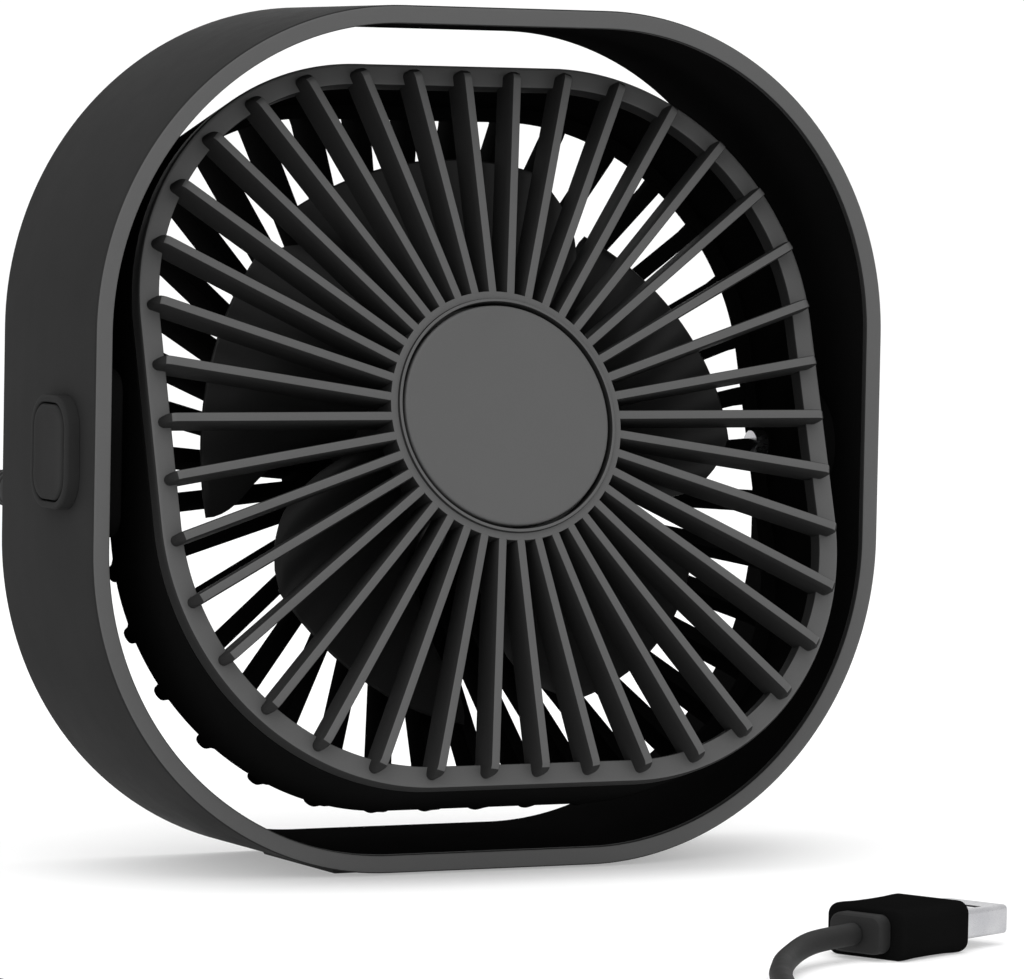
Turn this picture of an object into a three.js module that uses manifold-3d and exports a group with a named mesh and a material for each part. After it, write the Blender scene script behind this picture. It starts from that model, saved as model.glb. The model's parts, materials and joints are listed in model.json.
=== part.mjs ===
// Square USB desk fan: a rounded-square frame that stands on a foot pad, a head that tilts about
// a horizontal axis between two side pivots, a five-blade impeller, a power button and a USB cord.
// Millimetres, +Z up, the front faces -Y, the origin is under the middle of the foot pad.
import * as THREE from "three";
import { mergeVertices } from "three/addons/utils/BufferGeometryUtils.js";
import Module from "manifold-3d";

const wasm = await Module();
wasm.setup();

// ---------------------------------------------------------------- driving dimensions
const GAP = 0.3; // between pieces that rest on each other

const FRAME = { halfX: 74.05, halfZ: 72.5, corner: 54.85, depth: 39.3, wall: 3.1 };
const SHELL_WALL = 1.1; // outer shell of the frame
const LINER_WALL = 1.0; // inner liner of the frame
const LIP = 1.2; // thickness of the front and rear lips
const PAD = { halfX: 27, under: 0.4, halfY: 14 };
const FRAME_Z = PAD.under + FRAME.halfZ; // height of the frame's centre
const PIVOT_Z = FRAME_Z - 2.2; // height of the tilt axis
const TILT = THREE.MathUtils.degToRad(16.4); // the head leans back by this much at rest

const HEAD = { halfX: 63.6, halfZ: 62.3, corner: 44.95, rim: 3.8, wall: 1.8 };
const RIM_Y = [-19.1, -16.2]; // front rim, ahead of the tilt axis
const HOUSING_Y = [RIM_Y[1] + GAP, 2.0];
const SPOKES = 40;
const SPOKE = { width: 1.6, front: -23.0, back: -17.0, overlap: 2.4, round: 2.4 };
const RIB = { width: 2.3, overlap: 3.7, proud: 3.6, round: 1.7, hubR: 22, hubY: 19.5, deep: 5.5 };
const HUB_R = 21.5; // front ring of the grille
const CAP_R = 19.0;
const CAP_Y = -23.4;

const BLADES = 5;
const BLADE = { root: 16.4, tip: 48.5, front: -13.6, back: 1.2, thick: 1.4 };
const CUP_R = 17.2;
const CUP_Y = [-15.8, 10.5];

const PIN_R = 2.5;
const BORE_R = 2.65;
const BUTTON_Y = -6;
const BUTTON = { halfY: 7.7, halfZ: 9.4, corner: 5.6, proud: 2.5, rim: 1.25 };
const POD = { y: [-14, 19.35], halfZ: 14, deep: 4.5, wall: 1.0 };
const BOARD_U = [5.45, 6.45]; // depth of the circuit board under the frame's outer surface

const CORD_R = 1.75;
const EXIT_Z = PIVOT_Z - 8;
const EXIT_X = -FRAME.halfX + 3.9;
const GLAND_LENGTH = 20;
const GLAND_R = 2.6; // where the strain relief passes through the frame
const COIL = { x: -77.9, y: -207, inner: 14.6, outer: 26.4, low: 0.6, high: 7.8 };
const PLUG_HEADING = THREE.MathUtils.degToRad(50 - 26.57); // from +X towards +Y
const PLUG_AT = new THREE.Vector3(6.2, -132.8, 4.0); // back face of the overmould

// ---------------------------------------------------------------- materials
const finish = (color, roughness, metalness = 0) =>
  new THREE.MeshStandardMaterial({ color, roughness, metalness });
const blackPlastic = finish(0x141414, 0.5);
const facePlastic = finish(0x2b2b2b, 0.55);
const bladePlastic = finish(0x1c1c1c, 0.35);
const rubber = finish(0x0c0c0c, 0.85);
const steel = finish(0xb9bbbd, 0.3, 1);
const brass = finish(0xb08d4a, 0.35, 1);
const copper = finish(0xa8602c, 0.4, 1);
const boardGreen = finish(0x1f5a36, 0.6);
const magnet = finish(0x2a2624, 0.7);
const nylon = finish(0xe6e2d6, 0.5);

// ---------------------------------------------------------------- solids
function solid(geometry) {
  const bare = geometry.index ? geometry.toNonIndexed() : geometry.clone();
  bare.deleteAttribute("normal");
  bare.deleteAttribute("uv");
  const merged = mergeVertices(bare, 1e-4);
  const build = (triVerts) =>
    new wasm.Manifold(
      new wasm.Mesh({ numProp: 3, vertProperties: merged.attributes.position.array, triVerts }),
    );
  const triangles = new Uint32Array(merged.index.array);
  const made = build(triangles);
  if (made.volume() > 0) return made;
  for (let i = 0; i < triangles.length; i += 3) {
    [triangles[i + 1], triangles[i + 2]] = [triangles[i + 2], triangles[i + 1]];
  }
  return build(triangles);
}

function geometryOf(made) {
  const mesh = made.getMesh();
  const position = new Float32Array(mesh.numVert * 3);
  for (let i = 0; i < mesh.numVert; i++) {
    position.set(mesh.vertProperties.subarray(i * mesh.numProp, i * mesh.numProp + 3), i * 3);
  }
  const geometry = new THREE.BufferGeometry();
  geometry.setAttribute("position", new THREE.BufferAttribute(position, 3));
  geometry.setIndex(new THREE.BufferAttribute(mesh.triVerts, 1));
  geometry.computeVertexNormals();
  return geometry;
}

const join = (...parts) => parts.reduce((whole, part) => whole.add(part));
const cut = (whole, ...tools) => tools.reduce((rest, tool) => rest.subtract(tool), whole);

function place(parent, name, made, material) {
  const mesh = new THREE.Mesh(geometryOf(made), material);
  mesh.name = name;
  parent.add(mesh);
}

// Rounded rectangle with half sizes a and b and corner radius r.
function roundedShape(a, b, r) {
  const shape = new THREE.Shape();
  shape.absarc(a - r, b - r, r, 0, Math.PI / 2);
  shape.absarc(r - a, b - r, r, Math.PI / 2, Math.PI);
  shape.absarc(r - a, r - b, r, Math.PI, 1.5 * Math.PI);
  shape.absarc(a - r, r - b, r, 1.5 * Math.PI, 2 * Math.PI);
  shape.closePath();
  return shape;
}

// Extrudes a shape drawn in X and Z from the plane y0 back to y1.
function alongY(shape, y0, y1, curveSegments = 6) {
  const geometry = new THREE.ExtrudeGeometry(shape, {
    depth: y1 - y0,
    bevelEnabled: false,
    curveSegments,
  });
  return solid(geometry.rotateX(Math.PI / 2).translate(0, y1, 0));
}

// Extrudes a shape drawn in Y and Z from the plane x0 to x1.
function alongX(shape, x0, x1, curveSegments = 3) {
  const geometry = new THREE.ExtrudeGeometry(shape, {
    depth: x1 - x0,
    bevelEnabled: false,
    curveSegments,
  });
  const turn = new THREE.Matrix4().makeBasis(
    new THREE.Vector3(0, 1, 0),
    new THREE.Vector3(0, 0, 1),
    new THREE.Vector3(1, 0, 0),
  );
  return solid(geometry.applyMatrix4(turn).translate(x0, 0, 0));
}

// A round bar along X.
function barX(r, x0, x1, y = 0, z = 0, sides = 16) {
  const geometry = new THREE.CylinderGeometry(r, r, Math.abs(x1 - x0), sides);
  return solid(geometry.rotateZ(Math.PI / 2).translate((x0 + x1) / 2, y, z));
}

// A round bar along Y.
function barY(r, y0, y1, x = 0, z = 0, sides = 16) {
  const geometry = new THREE.CylinderGeometry(r, r, y1 - y0, sides);
  return solid(geometry.translate(x, (y0 + y1) / 2, z));
}

function block(x0, x1, y0, y1, z0, z1) {
  const geometry = new THREE.BoxGeometry(x1 - x0, y1 - y0, z1 - z0);
  return solid(geometry.translate((x0 + x1) / 2, (y0 + y1) / 2, (z0 + z1) / 2));
}

// Turns a closed profile of [radius, y] points about the Y axis.
function turned(points, sides = 24) {
  const profile = points.map(([r, y]) => new THREE.Vector2(r, y));
  profile.push(profile[0].clone());
  return solid(new THREE.LatheGeometry(profile, sides));
}

// A band between two insets of a rounded rectangle, from y0 to y1.
function band(box, outside, inside, y0, y1) {
  const ring = (inset) => roundedShape(box.halfX - inset, box.halfZ - inset, box.corner - inset);
  return cut(alongY(ring(outside), y0, y1), alongY(ring(inside), y0 - 1, y1 + 1));
}

// Distance from the centre to the outline of a rounded rectangle, inset by some amount.
function reach(box, inset, angle) {
  const a = box.halfX - inset;
  const b = box.halfZ - inset;
  const r = box.corner - inset;
  const c = Math.abs(Math.cos(angle));
  const s = Math.abs(Math.sin(angle));
  const flatX = a / Math.max(c, 1e-9);
  if (flatX * s <= b - r) return flatX;
  const flatZ = b / Math.max(s, 1e-9);
  if (flatZ * c <= a - r) return flatZ;
  const along = (a - r) * c + (b - r) * s;
  const square = (a - r) ** 2 + (b - r) ** 2;
  return along + Math.sqrt(along * along - square + r * r);
}

// A flat bar of some width that stands in the plane of the Y axis and the direction angle.
function radialBar(profile, width, angle) {
  const shape = new THREE.Shape(profile.map(([r, y]) => new THREE.Vector2(r, y)));
  const geometry = new THREE.ExtrudeGeometry(shape, { depth: width, bevelEnabled: false });
  return solid(geometry.translate(0, 0, -width / 2).rotateY(-angle));
}

// Quarter turn from [r0, y0] to [r1, y1] that leaves along r and arrives along y.
function rounding(r0, y0, r1, y1, steps = 2) {
  return Array.from({ length: steps + 1 }, (_, i) => {
    const t = (i / steps) * (Math.PI / 2);
    return [r0 + (r1 - r0) * Math.sin(t), y1 + (y0 - y1) * Math.cos(t)];
  });
}

// ---------------------------------------------------------------- frame
const inFrame = (made) => made.translate([0, 0, FRAME_Z]);
const OUT = FRAME.halfX; // the frame's flat outer side
const halfDepth = FRAME.depth / 2;

function frameShell() {
  const wall = band(FRAME, 0, SHELL_WALL, -halfDepth, halfDepth);
  const lip = band(FRAME, 0, FRAME.wall, -halfDepth, -halfDepth + LIP);
  const plungerHole = barX(1.9, -OUT - 1, -OUT + 3, BUTTON_Y, PIVOT_Z - FRAME_Z);
  return inFrame(cut(join(wall, lip), plungerHole));
}

function frameLiner() {
  const inside = FRAME.wall - LINER_WALL;
  const wall = band(FRAME, inside, FRAME.wall, -halfDepth + LIP + 0.1, halfDepth);
  const lip = band(FRAME, SHELL_WALL + 0.15, FRAME.wall, halfDepth - LIP, halfDepth);
  const z = PIVOT_Z - FRAME_Z;
  const window = block(-OUT, -OUT + 4, POD.y[0] + 2, POD.y[1] - 3, z - 11.5, z + 11.5);
  const cordHole = barY(GLAND_R + 0.1, 10, halfDepth + 1, EXIT_X, EXIT_Z - FRAME_Z);
  return inFrame(cut(join(wall, lip), window, cordHole, barX(BORE_R, OUT - 4, OUT, 0, z)));
}

// The pad's flat underside stands on the table and its top follows the frame's outline.
function footPad() {
  const slab = block(-PAD.halfX, PAD.halfX, -PAD.halfY, PAD.halfY, 0, 7);
  const outline = roundedShape(FRAME.halfX + 0.05, FRAME.halfZ + 0.05, FRAME.corner + 0.05);
  return cut(slab, inFrame(alongY(outline, -halfDepth - 1, halfDepth + 1)));
}

function buttonShape(inset) {
  const { halfY, halfZ, corner } = BUTTON;
  return roundedShape(halfY - inset, halfZ - inset, corner - inset);
}

function buttonCollar() {
  const x0 = -OUT - BUTTON.proud + 0.1;
  const ring = cut(
    alongX(buttonShape(0), x0, -OUT - 0.05),
    alongX(buttonShape(BUTTON.rim), x0 - 1, -OUT - 0.45),
    barX(2.4, -OUT - 1, -OUT + 1),
  );
  return ring.translate([0, BUTTON_Y, PIVOT_Z]);
}

function powerButton() {
  const cap = alongX(buttonShape(BUTTON.rim + 0.25), -OUT - BUTTON.proud, -OUT - 1.05);
  const plunger = barX(1.6, -OUT - 1.4, -OUT + 2.5, 0, 0, 16);
  return join(cap, plunger).translate([0, BUTTON_Y, PIVOT_Z]);
}

// Pod on the inside of the frame's left wall, behind the button.
function switchHousing() {
  const middle = (POD.y[0] + POD.y[1]) / 2;
  const halfY = (POD.y[1] - POD.y[0]) / 2;
  const x0 = -OUT + FRAME.wall + 0.15;
  const x1 = x0 + POD.deep;
  const outline = (inset) => roundedShape(halfY - inset, POD.halfZ - inset, 4 - inset);
  const box = cut(
    alongX(outline(0), x0, x1),
    alongX(outline(POD.wall), x0 - 1, x1 - POD.wall),
  ).translate([0, middle, 0]);
  const tube = barX(3.7, x0, x1);
  const whole = cut(join(box, tube), barX(BORE_R, x0 - 1, x1 + 1));
  const cordHole = barY(GLAND_R + 0.1, POD.y[1] - 3, POD.y[1] + 1, EXIT_X, EXIT_Z - PIVOT_Z);
  return cut(whole, cordHole).translate([0, 0, PIVOT_Z]);
}

function controlBoard() {
  const x = BOARD_U.map((u) => -OUT + u);
  const board = alongX(roundedShape(13, 12.4, 3), ...x).translate([0, 0.6, 0]);
  return cut(board, barX(4.1, x[0] - 1, x[1] + 1)).translate([0, 0, PIVOT_Z]);
}

function tactileSwitch() {
  const seat = -OUT + BOARD_U[0] - 0.05;
  const body = block(seat - 1.8, seat, -2.2, 2.2, -2.2, 2.2);
  const stem = barX(1.2, seat - 2.2, seat - 1);
  return join(body, stem).translate([0, BUTTON_Y, PIVOT_Z]);
}

function chargeChip() {
  const seat = -OUT + BOARD_U[0] - 0.05;
  return block(seat - 1.5, seat, 7, 11, -9, -3.5).translate([0, 0, PIVOT_Z]);
}

// Countersunk screw from inside the pod into the frame.
function housingScrew(side) {
  const x1 = -OUT + FRAME.wall + 0.15 + POD.deep;
  const head = barX(1.3, x1 + 0.05, x1 + 0.6, 0, 0, 16);
  return head.translate([0, 8.5, PIVOT_Z + side * 8.5]);
}

function rightBoss() {
  const x0 = OUT - FRAME.wall - POD.deep - 0.15;
  const geometry = new THREE.CylinderGeometry(10, 8.6, POD.deep, 36);
  const cone = solid(geometry.rotateZ(-Math.PI / 2).translate(x0 + POD.deep / 2, 0, 0));
  return cut(cone, barX(BORE_R, x0 - 1, OUT)).translate([0, 0, PIVOT_Z]);
}

const BOSS_FACE = OUT - FRAME.wall - POD.deep - 0.15; // inner face of the pivot bosses
const HEAD_BOSS = 1.9; // how far the head's own pivot bosses stand out
const HEAD_BOSS_R = 5.2;
const WASHER_R = 5.0;

function pivotWasher(side) {
  const x0 = HEAD.halfX + HEAD_BOSS + 0.05;
  const ring = cut(barX(WASHER_R, x0, BOSS_FACE - 0.05), barX(BORE_R, x0 - 1, OUT));
  return (side > 0 ? ring : ring.mirror([1, 0, 0])).translate([0, 0, PIVOT_Z]);
}

// ---------------------------------------------------------------- head, in its own upright frame
const outline = (angle) => reach(HEAD, 0, angle);
const opening = (angle) => reach(HEAD, HEAD.rim, angle);
const around = (count, make) => Array.from({ length: count }, (_, i) => make((i * 2 * Math.PI) / count));

function frontSpoke(angle) {
  const inner = opening(angle);
  const tip = inner + SPOKE.overlap;
  const { front, back, round } = SPOKE;
  const profile = [
    [HUB_R - 1.5, back],
    [inner + 0.4, back],
    [inner + 0.4, RIM_Y[0] + 0.5],
    [tip, RIM_Y[0] + 0.5],
    ...rounding(tip - round, front, tip, front + round).reverse(),
    [HUB_R - 1.5, front],
  ];
  return radialBar(profile, SPOKE.width, angle);
}

function frontGrille() {
  const rim = band(HEAD, 0, HEAD.rim, ...RIM_Y);
  const hub = turned([
    [0.001, -20.4],
    [19.5, -20.4],
    [19.5, -23.6],
    [20.2, -23.6],
    [20.2, -23.0],
    [HUB_R, -23.0],
    [HUB_R, -17.2],
    [0.001, -17.2],
  ]);
  return join(rim, hub, ...around(SPOKES, frontSpoke));
}

function centreCap() {
  return turned([
    [0.001, -20.7],
    [0.001, CAP_Y],
    [CAP_R - 0.5, CAP_Y],
    [CAP_R, CAP_Y + 0.5],
    [CAP_R, -20.7],
  ]);
}

// Height of the rear ribs' back edge at some radius: a cone from the rear rim to the hub.
function ribProfile(angle) {
  const inner = opening(angle);
  const tip = inner + RIB.overlap;
  const rear = HOUSING_Y[1];
  const crown = rear + RIB.proud;
  return [
    [RIB.hubR, RIB.hubY - RIB.deep],
    [inner - 1.5, rear - 1.8],
    [inner + 0.4, rear - 1.8],
    [inner + 0.4, rear - 0.5],
    [tip, rear - 0.5],
    ...rounding(tip - RIB.round, crown, tip, crown - RIB.round).reverse(),
    [RIB.hubR, RIB.hubY],
  ];
}

function rearHousing() {
  const wall = band(HEAD, 0, HEAD.wall, ...HOUSING_Y);
  const rim = band(HEAD, 0, HEAD.rim, HOUSING_Y[1] - 2, HOUSING_Y[1]);
  const hub = turned([
    [3.2, RIB.hubY - 2.2],
    [RIB.hubR - 1.6, RIB.hubY - 2.2],
    [RIB.hubR - 1.6, RIB.hubY - RIB.deep - 1.2],
    [RIB.hubR + 1, RIB.hubY - RIB.deep - 1.2],
    [RIB.hubR + 1, RIB.hubY - 0.6],
    [RIB.hubR + 0.4, RIB.hubY],
    [3.2, RIB.hubY],
  ]);
  const ribs = around(SPOKES, (angle) => radialBar(ribProfile(angle), RIB.width, angle));
  const bosses = [-1, 1].map((side) =>
    join(
      barX(HEAD_BOSS_R, side * (HEAD.halfX - 1), side * (HEAD.halfX + HEAD_BOSS)),
      barX(4.4, side * (HEAD.halfX - 4.2), side * (HEAD.halfX - 1)),
    ),
  );
  const bores = [-1, 1].map((side) => barX(PIN_R + 0.05, side * 50, side * 70));
  return cut(join(wall, rim, hub, ...ribs, ...bosses), ...bores);
}

// Pivot pin, pressed into the head and turning in the frame's boss.
function pivotPin(side) {
  const inner = HEAD.halfX - 4.2;
  const flangeFrom = OUT - (side < 0 ? FRAME.wall : FRAME.wall - LINER_WALL - 0.02);
  const pin = join(barX(PIN_R, inner, flangeFrom + 0.4), barX(3.9, flangeFrom, flangeFrom + 0.85));
  const hollow = cut(pin, barX(1.2, inner - 1, OUT + 1));
  return side < 0 ? hollow.mirror([1, 0, 0]) : pin;
}

// ---------------------------------------------------------------- motor, in the head's frame
const MOTOR_BACK = RIB.hubY - 2.2 - GAP; // where the motor base rests in the rear hub

function motorBase() {
  return turned([
    [2.55, MOTOR_BACK],
    [2.55, MOTOR_BACK - 17],
    [3.9, MOTOR_BACK - 17],
    [3.9, MOTOR_BACK - 2],
    [19.6, MOTOR_BACK - 2],
    [19.6, MOTOR_BACK],
  ]);
}

function motorScrew(angle) {
  const head = barY(1.5, RIB.hubY + 0.05, RIB.hubY + 0.8, 13 * Math.cos(angle), 13 * Math.sin(angle), 16);
  return head;
}

const motorBoard = () =>
  cut(barY(14.2, MOTOR_BACK - 3.4, MOTOR_BACK - 2.2, 0, 0, 32), barY(4.1, 0, 20, 0, 0, 20));

// Four-pole stator: a core with four arms.
function statorCore() {
  const y = [MOTOR_BACK - 12, MOTOR_BACK - 6];
  const arms = [0, 1, 2, 3].map((k) => {
    const arm = join(block(3, 11, y[0], y[1], -1.4, 1.4), block(9.8, 11.4, y[0], y[1], -4, 4));
    return arm.rotate([0, k * 90, 0]);
  });
  const core = join(barY(5.6, y[0], y[1], 0, 0, 24), ...arms);
  return cut(core, barY(4.15, y[0] - 1, y[1] + 1));
}

function statorWinding(k) {
  const y = [MOTOR_BACK - 13, MOTOR_BACK - 5];
  const coil = cut(
    block(5.9, 9.6, y[0], y[1], -2.6, 2.6),
    block(5, 10, y[0] + 0.9, y[1] - 0.9, -1.5, 1.5),
  );
  return coil.rotate([0, k * 90, 0]);
}

const bearing = (y0) =>
  turned([
    [1.05, y0],
    [1.05, y0 + 3],
    [2.5, y0 + 3],
    [2.5, y0],
  ], 24);

function rotorYoke() {
  const front = MOTOR_BACK - 18.6;
  return turned([
    [1.8, front],
    [15.6, front],
    [15.6, MOTOR_BACK - 4.4],
    [14.8, MOTOR_BACK - 4.4],
    [14.8, front + 0.8],
    [1.8, front + 0.8],
  ]);
}

const magnetRing = () =>
  turned([
    [12.4, MOTOR_BACK - 14],
    [14.7, MOTOR_BACK - 14],
    [14.7, MOTOR_BACK - 4.6],
    [12.4, MOTOR_BACK - 4.6],
  ]);

const SHAFT_FRONT = -13.6;
const rotorShaft = () => barY(1.0, SHAFT_FRONT, MOTOR_BACK + 0.8, 0, 0, 16);

const shaftClip = () =>
  turned([
    [1.05, MOTOR_BACK + 0.25],
    [1.05, MOTOR_BACK + 0.65],
    [2.3, MOTOR_BACK + 0.65],
    [2.3, MOTOR_BACK + 0.25],
  ], 20);

// Swept blade: a box bent round the axis, with its leading edge ahead of its trailing edge.
function blade(angle) {
  const geometry = new THREE.BoxGeometry(1, 1, 1, 5, 1, 5);
  const position = geometry.attributes.position;
  for (let i = 0; i < position.count; i++) {
    const out = position.getX(i) + 0.5;
    const side = position.getY(i) + 0.5;
    const along = position.getZ(i) + 0.5;
    const r = BLADE.root + out * (BLADE.tip - BLADE.root);
    const round = 1 - 0.2 * Math.max(0, (out - 0.7) / 0.3) ** 2;
    const chord = THREE.MathUtils.degToRad(60 + 6 * out) * round;
    const turn = angle + 0.42 * out ** 1.4 + (along - 0.5) * chord;
    const lean = BLADE.front + (BLADE.back - BLADE.front) * (0.5 + (along - 0.5) * (1 - 0.25 * out));
    const camber = 1.6 * (1 - (2 * along - 1) ** 2);
    const y = lean - camber + (side - 0.5) * BLADE.thick * (1 - 0.45 * out);
    position.setXYZ(i, r * Math.cos(turn), y, r * Math.sin(turn));
  }
  return solid(geometry);
}

function impeller() {
  const cup = turned([
    [1.03, CUP_Y[0] + 0.6],
    [1.03, CUP_Y[0] + 2.6],
    [1.75, CUP_Y[0] + 2.6],
    [CUP_R - 1.4, CUP_Y[0] + 2.6],
    [CUP_R - 1.4, CUP_Y[1]],
    [CUP_R, CUP_Y[1]],
    [CUP_R, CUP_Y[0] + 2],
    [CUP_R - 2, CUP_Y[0]],
    [1.03, CUP_Y[0]],
  ]);
  return join(cup, ...around(BLADES, blade));
}

// ---------------------------------------------------------------- cord and plug
// The cord leaves the frame's rear edge behind the button, drops to the table, and runs round the
// left of the fan to a small coil in front of it. The rest leads to the plug.
const fanRoute = [
  [EXIT_X, halfDepth + GLAND_LENGTH + GAP, EXIT_Z],
  [EXIT_X, halfDepth + GLAND_LENGTH + 2.3, EXIT_Z - 0.1],
  [EXIT_X - 0.3, 47.4, EXIT_Z - 2.2],
  [EXIT_X - 1.2, 54.5, 55.5],
  [EXIT_X - 2.6, 59.2, 45],
  [EXIT_X - 4.4, 61, 32],
  [EXIT_X - 7.0, 61.2, 19.5],
  [-81.5, 59.6, 9.4],
  [-86.6, 54.2, 3.6],
  [-92, 44, 1.9],
  [-97, 29, 1.85],
  [-102, 9, 1.85],
  [-107, -13, 1.85],
  [-113, -37, 1.85],
  [-120.5, -60.5, 1.85],
  [-128, -83, 1.85],
  [-134, -106, 1.85],
  [-135, -130, 1.85],
  [-130, -152, 1.85],
  [-121, -173, 1.85],
  [-111.5, -191.5, 1.85],
  [COIL.x - COIL.outer - CORD_R - 0.3, COIL.y, 1.85],
];
const toward = (distance, z) => {
  const x = PLUG_AT.x + distance * Math.cos(PLUG_HEADING);
  return [x, PLUG_AT.y + distance * Math.sin(PLUG_HEADING), z];
};
const LOOP_OUT = THREE.MathUtils.degToRad(-26.57); // where the cord leaves the coil
const coilEdge = COIL.outer + CORD_R + 0.3;
const plugRoute = [
  [COIL.x + coilEdge * Math.cos(LOOP_OUT), COIL.y + coilEdge * Math.sin(LOOP_OUT), 1.85],
  [-42.6, -201.3, 1.85],
  [-34.4, -182.8, 1.85],
  [-27.3, -166.8, 1.85],
  [-20.8, -154.2, 2.0],
  [-14.2, -145.0, 2.6],
  [-6.6, -138.5, 3.6],
  toward(-3.3, 4.0),
];

const curveOf = (points) =>
  new THREE.CatmullRomCurve3(
    points.map((p) => new THREE.Vector3(...p)),
    false,
    "centripetal",
  );

function tube(points, steps) {
  const section = new THREE.Shape();
  section.absarc(0, 0, CORD_R, 0, 2 * Math.PI);
  const geometry = new THREE.ExtrudeGeometry(section, {
    steps,
    curveSegments: 4,
    bevelEnabled: false,
    extrudePath: curveOf(points),
  });
  return solid(geometry);
}

function cordCoil() {
  const { inner, outer, low, high } = COIL;
  const ring = turned([
    [inner + 1, low],
    [outer - 1, low],
    [outer, low + 1.2],
    [outer, high - 1.2],
    [outer - 1, high],
    [inner + 1, high],
    [inner, high - 1.2],
    [inner, low + 1.2],
  ]);
  return ring.rotate([90, 0, 0]).translate([COIL.x, COIL.y, 0]);
}

// Flat tie round the bundle, at the coil's right.
function cordTie() {
  const { inner, outer, low, high } = COIL;
  const width = 5;
  const shell = block(inner - 1.2, outer + 1.0, -width / 2, width / 2, 0, high + 0.8);
  const hole = block(inner - 0.5, outer + 0.2, -width, width, low - 0.15, high + 0.15);
  const strap = cut(shell, hole);
  const turn = 355; // degrees round the coil, clear of both ends of the cord
  return strap.rotate([0, 0, turn]).translate([COIL.x, COIL.y, 0]);
}

// Tapered strain relief on the frame's rear edge.
function cordGland() {
  const y = halfDepth;
  return turned([
    [CORD_R + 0.1, y - 3.6],
    [GLAND_R, y - 3.6],
    [GLAND_R, y + 0.2],
    [3.5, y + 0.2],
    [3.5, y + 2.4],
    [2.5, y + GLAND_LENGTH],
    [CORD_R + 0.1, y + GLAND_LENGTH],
  ], 20).translate([EXIT_X, 0, EXIT_Z]);
}

// Cord stub inside the strain relief, up to the circuit board.
function cordInner() {
  const end = halfDepth + GLAND_LENGTH - 0.2;
  return barY(CORD_R, 15.2, end, EXIT_X, EXIT_Z, 12);
}

const onPlug = (made) =>
  made.rotate([0, 0, THREE.MathUtils.radToDeg(PLUG_HEADING)]).translate(PLUG_AT.toArray());

// Pieces of the plug lie along +X from the back of the overmould, before they are turned.
function plugBody() {
  const shape = roundedShape(7.45, 4.0, 2.0);
  return onPlug(alongX(shape, 0, 17, 5));
}

function plugCollar() {
  const shape = roundedShape(4.85, 3.0, 1.8);
  return onPlug(cut(alongX(shape, -3, -GAP, 5), barX(CORD_R + 0.2, -4, 1, 0, 0, 14)));
}

function plugShell() {
  const windows = [-3, 3].map((y) => block(21.9, 24.15, y - 1.5, y + 1.5, -4, 4));
  const tube = cut(block(17 + GAP, 29, -6, 6, -2.25, 2.25), block(18, 30, -5.7, 5.7, -1.95, 1.95));
  return onPlug(cut(tube, ...windows));
}

const plugTongue = () => onPlug(block(18 + GAP, 28, -5.4, 5.4, -1.65, 0.1));

const plugContact = (k) => onPlug(block(20, 27.4, k * 2.3 - 0.5, k * 2.3 + 0.5, 0.2, 0.45));

// ---------------------------------------------------------------- assembly
const fan = new THREE.Group();

place(fan, "frame_outer_shell", frameShell(), facePlastic);
place(fan, "frame_inner_liner", frameLiner(), blackPlastic);
place(fan, "base_pad", footPad(), rubber);
place(fan, "button_collar", buttonCollar(), blackPlastic);
place(fan, "power_button", powerButton(), blackPlastic);
place(fan, "switch_housing", switchHousing(), blackPlastic);
place(fan, "control_board", controlBoard(), boardGreen);
place(fan, "tactile_switch", tactileSwitch(), steel);
place(fan, "motor_driver_chip", chargeChip(), blackPlastic);
place(fan, "housing_screw_upper", housingScrew(1), steel);
place(fan, "housing_screw_lower", housingScrew(-1), steel);
place(fan, "right_pivot_boss", rightBoss(), blackPlastic);
place(fan, "pivot_washer_left", pivotWasher(-1), nylon);
place(fan, "pivot_washer_right", pivotWasher(1), nylon);

const head = new THREE.Group();
head.position.set(0, 0, PIVOT_Z);
head.rotation.x = -TILT;
fan.add(head);

place(head, "front_grille", frontGrille(), facePlastic);
place(head, "centre_cap", centreCap(), facePlastic);
place(head, "rear_housing", rearHousing(), blackPlastic);
place(head, "pivot_pin_left", pivotPin(-1), steel);
place(head, "pivot_pin_right", pivotPin(1), steel);
place(head, "motor_base", motorBase(), brass);
place(head, "motor_board", motorBoard(), boardGreen);
for (let k = 0; k < 3; k++) {
  place(head, `motor_screw_${k + 1}`, motorScrew((k * 2 * Math.PI) / 3 + Math.PI / 2), steel);
}
place(head, "stator_core", statorCore(), steel);
for (let k = 0; k < 4; k++) place(head, `stator_winding_${k + 1}`, statorWinding(k), copper);
place(head, "bearing_front", bearing(MOTOR_BACK - 16.8), steel);
place(head, "bearing_rear", bearing(MOTOR_BACK - 3.2), steel);

place(head, "impeller", impeller(), bladePlastic);
place(head, "rotor_yoke", rotorYoke(), steel);
place(head, "magnet_ring", magnetRing(), magnet);
place(head, "rotor_shaft", rotorShaft(), steel);
place(head, "shaft_clip", shaftClip(), steel);

place(fan, "cord_gland", cordGland(), rubber);
place(fan, "cord_inner", cordInner(), rubber);
place(fan, "cord_fan_run", tube(fanRoute, 40), rubber);
place(fan, "cord_coil", cordCoil(), rubber);
place(fan, "cord_tie", cordTie(), rubber);
place(fan, "cord_plug_run", tube(plugRoute, 14), rubber);
place(fan, "plug_collar", plugCollar(), rubber);
place(fan, "plug_body", plugBody(), blackPlastic);
place(fan, "plug_shell", plugShell(), steel);
place(fan, "plug_tongue", plugTongue(), nylon);
[-1.5, -0.5, 0.5, 1.5].forEach((k, i) => place(fan, `plug_contact_${i + 1}`, plugContact(k), brass));

export default fan;
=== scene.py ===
"""Square USB desk fan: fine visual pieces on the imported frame.

Lengths are in millimetres. The camera, the materials, the floor and the lights use metres.
"""
import json
import math

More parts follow.
